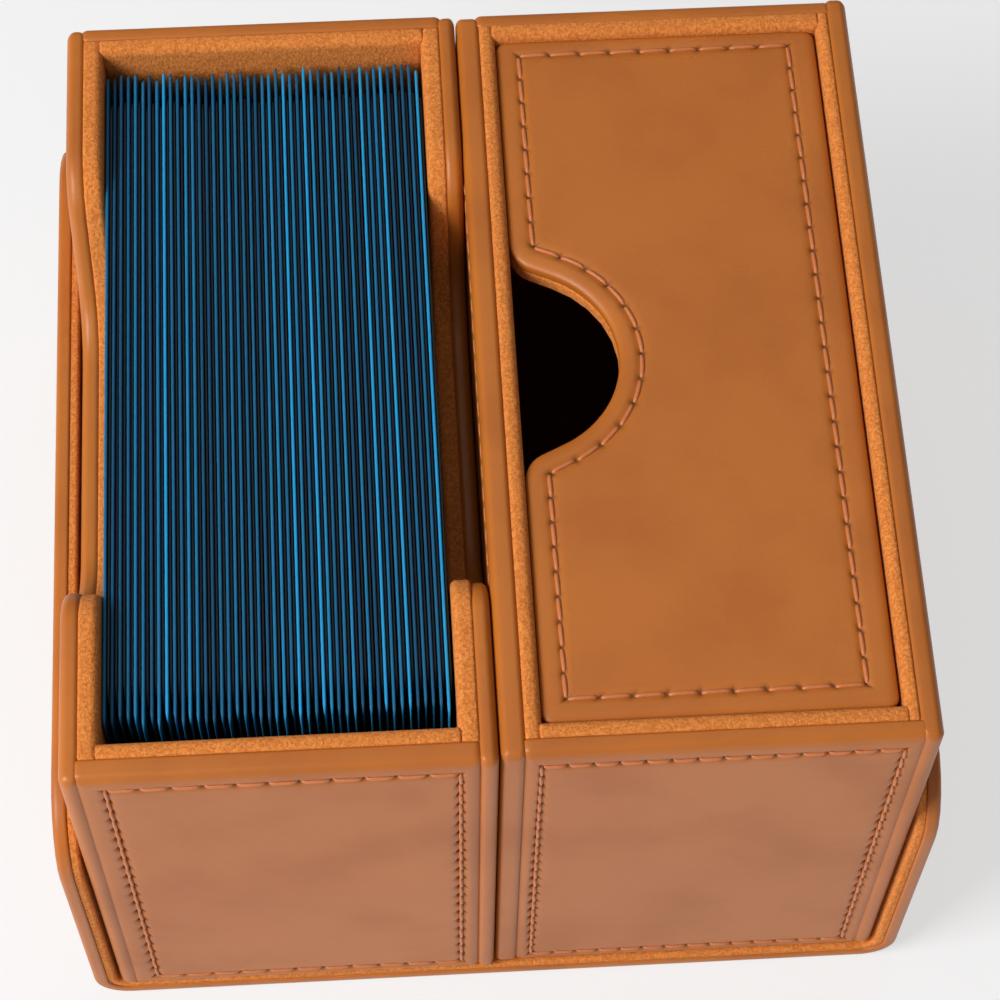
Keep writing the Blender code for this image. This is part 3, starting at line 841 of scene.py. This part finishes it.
def board(name, node, facing, body, finish, slot, box, corners, rim, back_rim, row=None):
    """Covered board in place of one of the frame's nodes, with a row of stitches if it is to have one."""
    low, high = box
    width, height, thickness = extents(low, high, facing)
    shape = corners(width, height)
    curved = row and len(shape) > RECTANGLE_CORNERS
    outline = Outline(shape, FINE_PITCH if curved else COARSE_PITCH)
    outline.set_edge_steps(row["insets"] if row else 0.0, row["stitch"] if row and not curved else None)
    seam = Seam(outline, row) if row else None
    points, faces, hole_shades = slab(outline, thickness, rim, back_rim, seam)
    # Each point carries how much painted needle-hole shade it takes
    marks = {"needle_hole_shade": hole_shades} if seam else None
    piece = made_piece(name, in_place(points, low, high, facing), faces, finish, marks)
    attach(piece, body)
    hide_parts(node)
    if seam:
        points, faces = stitch_tubes(seam)
        thread = made_piece(name + "_stitching", in_place(points, low, high, facing), faces, THREAD)
        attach(thread, body)


def cornered(radius):
    """Outline maker for a rectangle with corners of one radius."""
    return lambda width, height: rectangle(width, height, radius)


def scooped_board(node, facing, box, radius):
    """Outline maker for a side board with a scoop, which knows where the scoop's middle falls."""
    middle = SCOOP_MIDDLE_Y - box[0].y
    front_lip = FRONT_LIPS.get(node, 0.0)
    return lambda width, height: scooped(width, height, middle, radius, front_lip, facing == "right")


def side_wall(module, side):
    """A side wall's entry in SIDE_WALLS, and the boxes of its leather board and its suede board."""
    wall = SIDE_WALLS[module, side]
    leather_box = grown(f"{module}_{side}_leather", side, behind=GLUE_LINE + PRESSED_IN)
    suede_box = grown(f"{module}_{side}_suede", OPPOSITE[side])
    inwards, outwards, sign = (1, 0, -1) if side == "left" else (0, 1, 1)
    leather_box[outwards].x += sign * wall["ahead"]
    leather_box[inwards].x += wall["seam"]
    leather_box[1].y -= wall["short"]
    suede_box[outwards].x += wall["seam"]
    suede_box[inwards].x += wall["inner"]
    return wall, leather_box, suede_box


def end_wall(module, side):
    """A front or back wall's entry in END_WALLS, and the boxes of its two boards."""
    wall = END_WALLS[module, side]
    leather_box = grown(f"{module}_{side}_leather", side, behind=GLUE_LINE + PRESSED_IN)
    suede_box = grown(f"{module}_{side}_suede", OPPOSITE[side], ends=GLUE_LINE + SUEDE_LAP)
    for end, neighbour in enumerate(("left", "right")):
        leather_box[end].x += (2 * end - 1) * wall["ends"][end]
        leather_box[end].y -= wall["set_in"]
        suede_box[end].x += SIDE_WALLS[module, neighbour]["inner"]
    return wall, leather_box, suede_box


def build_module(module, has_scoops, row):
    """The outer leather boards, the inner suede boards and the floor lining of one module."""
    for side in ("left", "right", "front", "back"):
        is_side = side in ("left", "right")
        wall, leather_box, suede_box = side_wall(module, side) if is_side else end_wall(module, side)
        outer = f"{module}_{side}_leather"
        inner = f"{module}_{side}_suede"
        facing = OPPOSITE[side]
        leather_shape = cornered(LEATHER_CORNER)
        suede_shape = cornered(SUEDE_CORNER)
        if has_scoops and is_side:
            leather_shape = scooped_board(outer, side, leather_box, LEATHER_CORNER)
            suede_shape = scooped_board(inner, facing, suede_box, SUEDE_CORNER)
        board(f"{module}_{side}_outer_board", outer, side, "wallet", LEATHER, "leather",
              leather_box, leather_shape, wall["rim"], wall.get("back_rim", LEATHER_BACK_RIM),
              {**row, "insets": wall.get("insets", row["insets"])})
        board(f"{module}_{side}_inner_board", inner, facing, "wallet", SUEDE, "suede",
              suede_box, suede_shape, INNER_RIM, wall.get("suede_back_rim", SUEDE_BACK_RIM))
    floor = f"{module}_floor_lining"
    board(f"{module}_floor_suede", floor, "top", "wallet", SUEDE, "suede",
          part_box(floor), cornered(FLOOR_CORNER), FLOOR_RIM, FLOOR_RIM)


def bent_round_fold(point, sign, half_width):
    """A point of the flat cover put in place: flat base, quarter round, upright flap."""
    u, v, depth = point
    flat = half_width - FOLD_RADIUS
    turn_length = FOLD_RADIUS * math.pi / 2
    if u <= flat:
        return sign * u, v, depth
    if u >= flat + turn_length:
        return sign * (half_width - depth), v, FOLD_RADIUS + u - flat - turn_length
    turn = (u - flat) / FOLD_RADIUS
    reach = FOLD_RADIUS - depth
    return sign * (flat + reach * math.sin(turn)), v, FOLD_RADIUS - reach * math.cos(turn)


def build_skin(name, sign, side, finish, outer_depth, thickness, inset, rims, nodes):
    """One half of the cover's leather or lining: base, fold and flap in one sheet, bent round the fold."""
    base_low, base_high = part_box("base_leather")
    front = base_low.y + inset
    back = base_high.y - inset
    half_width = cad_high.x
    flap_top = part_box(f"{side}_flap_leather")[1].z - inset
    flat = half_width - FOLD_RADIUS
    turn_length = FOLD_RADIUS * math.pi / 2
    reach = flat + turn_length + flap_top - FOLD_RADIUS
    corner = FLAP_CORNER - inset
    outline = Outline([
        (-SKIN_OVERRUN, front, POINT_RADIUS), (reach, front, corner),
        (reach, back, corner), (-SKIN_OVERRUN, back, POINT_RADIUS)], COARSE_PITCH)
    outline.set_edge_steps(0.0)
    points, faces, _ = slab(outline, thickness, *rims)
    points = [(u, v, outer_depth + depth) for u, v, depth in points]
    piece = made_piece(name, points, faces, finish)
    shape = bmesh.new()
    shape.from_mesh(piece.data)
    cuts = [flat + turn_length * step / FOLD_CUTS for step in range(FOLD_CUTS + 1)]
    for place in cuts:
        everything = shape.verts[:] + shape.edges[:] + shape.faces[:]
        bmesh.ops.bisect_plane(shape, geom=everything, plane_co=(place, 0, 0), plane_no=(1, 0, 0))
    everything = shape.verts[:] + shape.edges[:] + shape.faces[:]
    bmesh.ops.bisect_plane(
        shape, geom=everything, plane_co=(0, 0, 0), plane_no=(1, 0, 0), clear_inner=True)
    bmesh.ops.holes_fill(shape, edges=[edge for edge in shape.edges if edge.is_boundary])
    for vertex in shape.verts:
        vertex.co = drawn_in(bent_round_fold(vertex.co, sign, half_width))
    bmesh.ops.recalc_face_normals(shape, faces=shape.faces)
    shape.to_mesh(piece.data)
    shape.free()
    piece.data.set_sharp_from_angle(angle=FOLD_SHARP_ANGLE)
    hinge = next(joint for joint in frame["joints"] if joint["name"] == f"{side}_flap_fold")["pos_m"]
    half_bend = FOLD_SOFTNESS / 2
    start = (hinge[0] - sign * half_bend, 0, hinge[2] - half_bend)
    end = (hinge[0] + sign * half_bend, 0, hinge[2] + half_bend)
    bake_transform(piece)
    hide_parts(*nodes)


def build_cover():
    """Leather skin and suede lining, each in a left and a right half that meet under the modules."""
    leather_low, leather_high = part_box("base_leather")
    lining_low, lining_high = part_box("base_lining")
    for side, sign in {"left": -1, "right": 1}.items():
        build_skin(f"{side}_cover_leather", sign, side, LEATHER, 0.0,
                   leather_high.z - leather_low.z, 0.0, (SKIN_RIM, SKIN_BACK_RIM),
                   ["base_leather", f"{side}_fold", f"{side}_flap_leather"])
        build_skin(f"{side}_cover_lining", sign, side, SUEDE, lining_low.z - GLUE_LINE,
                   lining_high.z - lining_low.z + GLUE_LINE, lining_low.y - cad_low.y,
                   (LINING_BACK_RIM, LINING_RIM), ["base_lining", f"{side}_flap_lining"])


def build_deck():
    """The sleeved cards, each a blue film beside a black core, loose by a hair's breadth."""
    rng = random.Random(DECK_SEED)
    packets = [f"card_packet_{card // CARDS_IN_PACKET + 1:02d}" for card in range(CARD_COUNT)]
    first_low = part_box(packets[0])[0]
    last_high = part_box(packets[-1])[1]
    left = (first_low.x + last_high.x) / 2 - CARD_COUNT * CARD_PITCH / 2
    film_top = last_high.z - FILM_RISE
    for card, packet in enumerate(packets):
        rise = rng.uniform(-FILM_RISE, FILM_RISE)
        shift = rng.uniform(-FILM_SHIFT, FILM_SHIFT)
        lean = rng.uniform(-FILM_LEAN, FILM_LEAN)
        # Painted light of this sleeve: how brightly its edge shows
        light = rng.choice(FILM_PAINTED_LIGHTS)
        x = left + (card + 0.5) * CARD_PITCH
        low = Vector((x - FILM_THICKNESS, first_low.y + shift - FILM_OVERRUN, first_low.z))
        high = Vector((x, last_high.y + shift + FILM_OVERRUN, film_top + rise))
        film = sleeve(f"sleeve_{card + 1:02d}", low, high, FILM_RIM, FILM_CORNER, FILM, light, lean)
        low = Vector((x + CARD_GAP, low.y + CARD_SHORT_OF_FILM, low.z))
        high = Vector((low.x + CARD_THICKNESS, high.y - CARD_SHORT_OF_FILM, high.z - CARD_BELOW_FILM))
        core = sleeve(f"card_{card + 1:02d}", low, high, CARD_RIM, CARD_CORNER, CORE, light, lean)
        for piece in (film, core):
            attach(piece, "deck")
        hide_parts(packet)


def sleeve(name, low, high, rim, corner, finish, light, lean):
    """One thin upright sheet with round corners, thinner towards its ends."""
    depth, height, thickness = extents(low, high, "right")
    outline = Outline(rectangle(depth, height, corner), SLEEVE_PITCH)
    outline.set_edge_steps(0.0)
    points, faces, _ = slab(outline, thickness, rim, rim)
    middle = depth / 2
    thinned = []
    for u, v, deep in points:
        to_end = min(1.0, max(0.0, (abs(u - middle) - middle + FILM_TIP_REACH) / FILM_TIP_REACH))
        keep = 1 - (1 - FILM_TIP_SHARE) * to_end ** 2
        offset = lean * (u - middle) / middle
        thinned.append((u, v, thickness / 2 + (deep - thickness / 2) * keep + offset))
    placed = in_place(thinned, low, high, "right")
    # Every point carries the sleeve's painted light
    return made_piece(name, placed, faces, finish, {"film_painted_light": [light] * len(placed)})


def build_drawer():
    """The stitched drawer face on its suede board, and the suede walls behind it, darkened by painted shade.
    """
    for name, node, finish, slot, shape, rims, row in (
            ("drawer_panel", "drawer_face_leather", LEATHER, "leather", notched,
             (PANEL_RIM, LEATHER_BACK_RIM), PANEL_ROW),
            ("drawer_panel_backing", "drawer_face_suede", SUEDE, "suede", notched_suede,
             (SUEDE_BACK_RIM, SUEDE_BACK_RIM), None)):
        low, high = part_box(node)
        low -= Vector((PANEL_LET_OUT["left"], PANEL_LET_OUT["front"], 0))
        high += Vector((PANEL_LET_OUT["right"], PANEL_LET_OUT["back"], 0))
        board(name, node, "top", "drawer", finish, slot, (low, high), shape, *rims, row)
    # The drawer's inner walls take the suede that is darkened as painted shade
    for name, node, facing, radius in (
            ("drawer_foot_board", "drawer_foot", "top", DRAWER_CORNER),
            ("drawer_front_wall", "drawer_front_side", "front", SUEDE_CORNER),
            ("drawer_back_wall", "drawer_back_side", "back", SUEDE_CORNER),
            ("drawer_bottom", "drawer_floor", "left", SUEDE_CORNER)):
        board(name, node, facing, "drawer", SHADED_DRAWER_SUEDE, "suede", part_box(node), cornered(radius),
              SUEDE_RIM, SUEDE_RIM)


def finish_hidden_nodes():
    """Steel discs and floor boards stay as the frame has them, in their real finish."""
    for name, node in frame["nodes"].items():
        if "magnet" in name or "keeper" in name:
            node.data.materials.clear()
            node.data.materials.append(STEEL)
        if name.endswith("floor_board"):
            node.data.materials.clear()
            node.data.materials.append(BOARD)


def build_camera():
    """Camera at the photograph's place, turn and angle of view."""
    lens = bpy.data.cameras.new("photo_camera")
    lens.sensor_fit = "HORIZONTAL"
    lens.sensor_width = VIEW_SENSOR
    lens.lens = VIEW_LENS
    lens.clip_start = VIEW_NEAR
    lens.clip_end = VIEW_FAR
    camera = bpy.data.objects.new("photo_camera", lens)
    camera.location = VIEW_FROM
    camera.rotation_euler = [math.radians(turn) for turn in VIEW_TURN]
    bpy.context.scene.collection.objects.link(camera)
    bpy.context.scene.camera = camera


def build_softbox(name, place, width, power):
    """Square soft box aimed at the middle of the wallet."""
    data = bpy.data.lights.new(name, "AREA")
    data.shape = "SQUARE"
    data.size = width
    data.energy = power
    lamp = bpy.data.objects.new(name, data)
    lamp.location = place
    lamp.rotation_euler = (Vector(SOFTBOX_TARGET) - Vector(place)).to_track_quat("-Z", "Y").to_euler()
    bpy.context.scene.collection.objects.link(lamp)


def build_studio():
    """Pale floor, a white surround and soft boxes, the strongest from the left."""
    corners = [(-FLOOR_HALF, -FLOOR_HALF, 0), (FLOOR_HALF, -FLOOR_HALF, 0),
               (FLOOR_HALF, FLOOR_HALF, 0), (-FLOOR_HALF, FLOOR_HALF, 0)]
    floor = made_piece("studio_floor", corners, [(0, 1, 2, 3)], floor_finish())
    floor.location.z = -FLOOR_DROP
    world = bpy.data.worlds.new("studio")
    world.use_nodes = True
    background = world.node_tree.nodes["Background"]
    background.inputs["Color"].default_value = WHITE
    background.inputs["Strength"].default_value = SURROUND_STRENGTH
    bpy.context.scene.world = world
    for name, (place, width, power) in SOFTBOXES.items():
        build_softbox(name, place, width, power)


bpy.context.scene.view_settings.view_transform = "Standard"
build_camera()
LEATHER = leather_finish()
SUEDE = suede_finish("orange_suede", **SUEDE_TONES)
# Suede darkened as painted shade, for inside the drawer
SHADED_DRAWER_SUEDE = suede_finish("shaded_drawer_suede", **SHADED_DRAWER_TONES)
THREAD = thread_finish()
FILM = film_finish()
CORE = card_finish()
BOARD = board_finish()
STEEL = steel_finish()
build_module("tray", True, TRAY_ROW)
build_module("case", False, CASE_ROW)
build_cover()
build_deck()
build_drawer()
finish_hidden_nodes()
build_studio()
